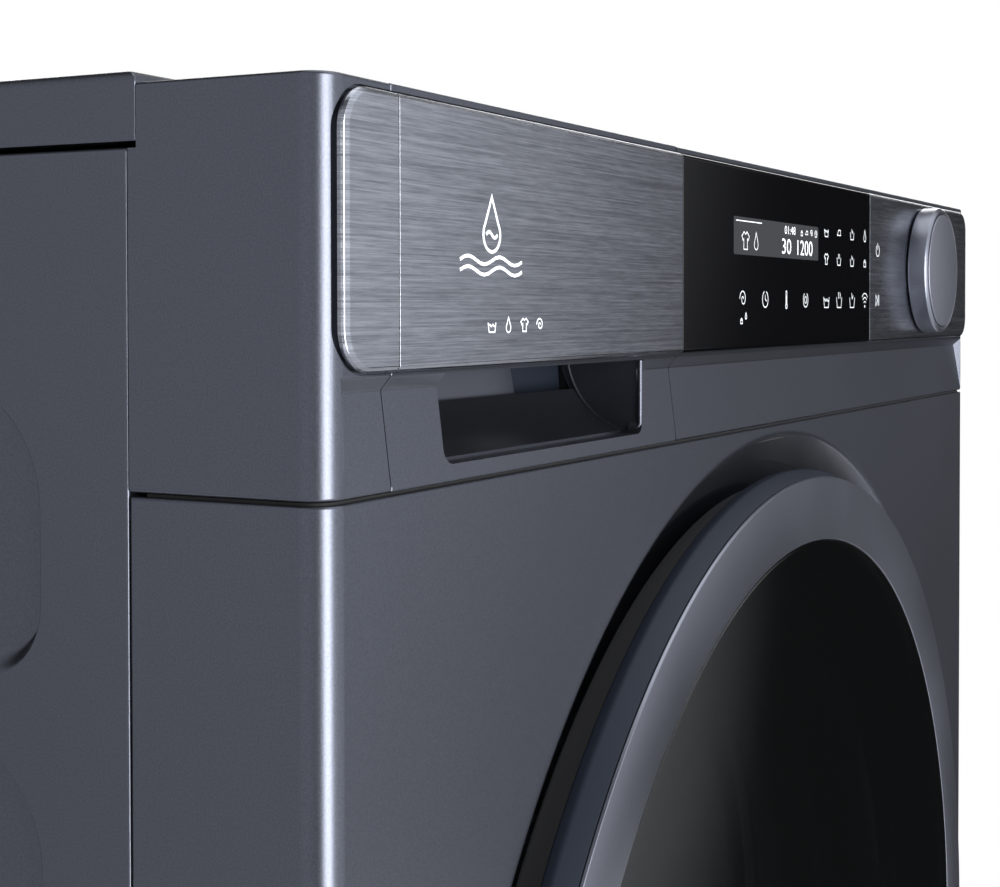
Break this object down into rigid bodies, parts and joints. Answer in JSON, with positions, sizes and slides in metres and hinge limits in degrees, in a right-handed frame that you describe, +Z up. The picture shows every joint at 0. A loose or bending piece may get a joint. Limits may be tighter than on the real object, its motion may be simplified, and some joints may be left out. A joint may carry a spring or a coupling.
{
  "type": "front load washing machine",
  "caption": "Front loading washing machine with a wrap-round control panel, turning knob, detergent drawer with an under-grip, porthole door, hung drum and belt drive.",
  "frame": {"origin": "on the floor, in the middle of the machine's overall box", "axes": "+X to the right seen from the front, +Y to the back, +Z up"},
  "size_m": [0.6, 0.58, 0.85],
  "materials": {
    "graphite_paint": "fine textured powder coat, satin",
    "brushed_plate": "fine horizontal brushing, satin",
    "display_glass": "high gloss black",
    "gunmetal": "satin metallic",
    "navy_plastic": "satin",
    "charcoal_plastic": "fine matte grain",
    "smoked_window": "gloss, dark tint",
    "bowl_glass": "clear pressed glass",
    "gasket_rubber": "smooth moulded rubber",
    "drum_steel": "bright stainless steel",
    "zinc_steel": "zinc plated sheet",
    "white_plastic": "satin",
    "tub_plastic": "mineral filled, matte",
    "concrete": "cast, rough",
    "cast_alloy": "as cast",
    "black_plastic": "matte grain",
    "black_rubber": "matte",
    "circuit_board": "solder mask"
  },
  "bodies": {
    "cabinet": {"worktop": "graphite_paint", "side_panel_left": "graphite_paint", "side_panel_right": "graphite_paint", "rear_panel": "zinc_steel", "rear_cover": "zinc_steel", "base_frame": "black_plastic", "front_panel": "graphite_paint", "plinth": "graphite_paint", "control_panel": "graphite_paint", "fascia_end": "brushed_plate", "display_glass": "display_glass", "fascia_right": "brushed_plate", "control_board": "circuit_board", "dispenser_box": "tub_plastic", "door_hinge_bracket": "zinc_steel", "door_hinge_pin": "drum_steel", "door_lock": "black_plastic", "gasket": "gasket_rubber", "spring_left": "drum_steel", "spring_right": "drum_steel", "damper_tube_left": "zinc_steel", "damper_tube_right": "zinc_steel", "inlet_valve": "white_plastic", "drain_pump": "tub_plastic"},
    "door": {"door_trim_ring": "gunmetal", "door_outer_frame": "navy_plastic", "door_rear_frame": "charcoal_plastic", "door_window": "smoked_window", "door_bowl": "bowl_glass", "door_hinge_arm": "zinc_steel"},
    "latch": {"door_latch_hook": "zinc_steel"},
    "drawer": {"drawer_front": "graphite_paint", "fascia_drawer": "brushed_plate", "drawer_tray": "white_plastic", "softener_cover": "navy_plastic"},
    "dial": {"knob_body": "gunmetal", "knob_cap": "brushed_plate"},
    "tub": {"tub_front": "tub_plastic", "tub_rear": "tub_plastic", "bearing_front": "drum_steel", "bearing_rear": "drum_steel", "counterweight_front": "concrete", "counterweight_top": "concrete", "drive_belt": "black_rubber", "motor": "zinc_steel", "damper_rod_left": "drum_steel", "damper_rod_right": "drum_steel"},
    "drum": {"drum_shell": "drum_steel", "drum_lifter_1": "navy_plastic", "drum_lifter_2": "navy_plastic", "drum_lifter_3": "navy_plastic", "drum_spider": "cast_alloy", "drum_pulley": "cast_alloy"},
    "motor_rotor": {"motor_pulley": "drum_steel"},
    "flap": {"filter_flap": "graphite_paint"},
    "lint_cap": {"filter_cap": "black_plastic"},
    "foot_fl": {"foot_front_left": "black_rubber"},
    "foot_rl": {"foot_rear_left": "black_rubber"},
    "foot_fr": {"foot_front_right": "black_rubber"},
    "foot_rr": {"foot_rear_right": "black_rubber"}
  },
  "joints": [
    {"name": "door_swing", "type": "hinge", "parent": "cabinet", "child": "door", "pos_m": [-0.2525, -0.282, 0.4835], "axis": [0, 0, -1], "range_deg": [0, 150]},
    {"name": "latch_tip", "type": "hinge", "parent": "door", "child": "latch", "pos_m": [0.228, -0.2642, 0.4835], "axis": [0, 0, 1], "range_deg": [0, 6], "stiffness_Nm_per_rad": 0.4, "springref_deg": -17.19},
    {"name": "drawer_slide", "type": "slide", "parent": "cabinet", "child": "drawer", "axis": [0, -1, 0], "range_m": [0, 0.24]},
    {"name": "dial_turn", "type": "hinge", "parent": "cabinet", "child": "dial", "pos_m": [0.2052, -0.277, 0.8119], "axis": [0, 1, 0], "continuous": true},
    {"name": "tub_bounce", "type": "slide", "parent": "cabinet", "child": "tub", "axis": [0, 0, 1], "range_m": [-0.006, 0.006], "stiffness_N_per_m": 60000, "springref_m": 0.00703, "deforming": ["spring_left", "spring_right"]},
    {"name": "drum_spin", "type": "hinge", "parent": "tub", "child": "drum", "pos_m": [0, 0.173, 0.4835], "axis": [0, 1, 0], "continuous": true},
    {"name": "motor_spin", "type": "hinge", "parent": "tub", "child": "motor_rotor", "pos_m": [0, 0.173, 0.1395], "axis": [0, 1, 0], "continuous": true},
    {"name": "flap_tip", "type": "hinge", "parent": "cabinet", "child": "flap", "pos_m": [0.2, -0.27275, 0.0315], "axis": [1, 0, 0], "range_deg": [0, 90]},
    {"name": "lint_cap_turn", "type": "hinge", "parent": "cabinet", "child": "lint_cap", "pos_m": [0.2, -0.252, 0.058], "axis": [0, -1, 0], "range_deg": [0, 360]},
    {"name": "foot_fl_screw", "type": "hinge", "parent": "cabinet", "child": "foot_fl", "pos_m": [-0.255, -0.1764, 0.01], "axis": [0, 0, 1], "range_deg": [-180, 180]},
    {"name": "foot_rl_screw", "type": "hinge", "parent": "cabinet", "child": "foot_rl", "pos_m": [-0.255, 0.2344, 0.01], "axis": [0, 0, 1], "range_deg": [-180, 180]},
    {"name": "foot_fr_screw", "type": "hinge", "parent": "cabinet", "child": "foot_fr", "pos_m": [0.255, -0.1764, 0.01], "axis": [0, 0, 1], "range_deg": [-180, 180]},
    {"name": "foot_rr_screw", "type": "hinge", "parent": "cabinet", "child": "foot_rr", "pos_m": [0.255, 0.2344, 0.01], "axis": [0, 0, 1], "range_deg": [-180, 180]}
  ],
  "couplings": [
    {"joint": "motor_spin", "follows": "drum_spin", "ratio": 15}
  ]
}
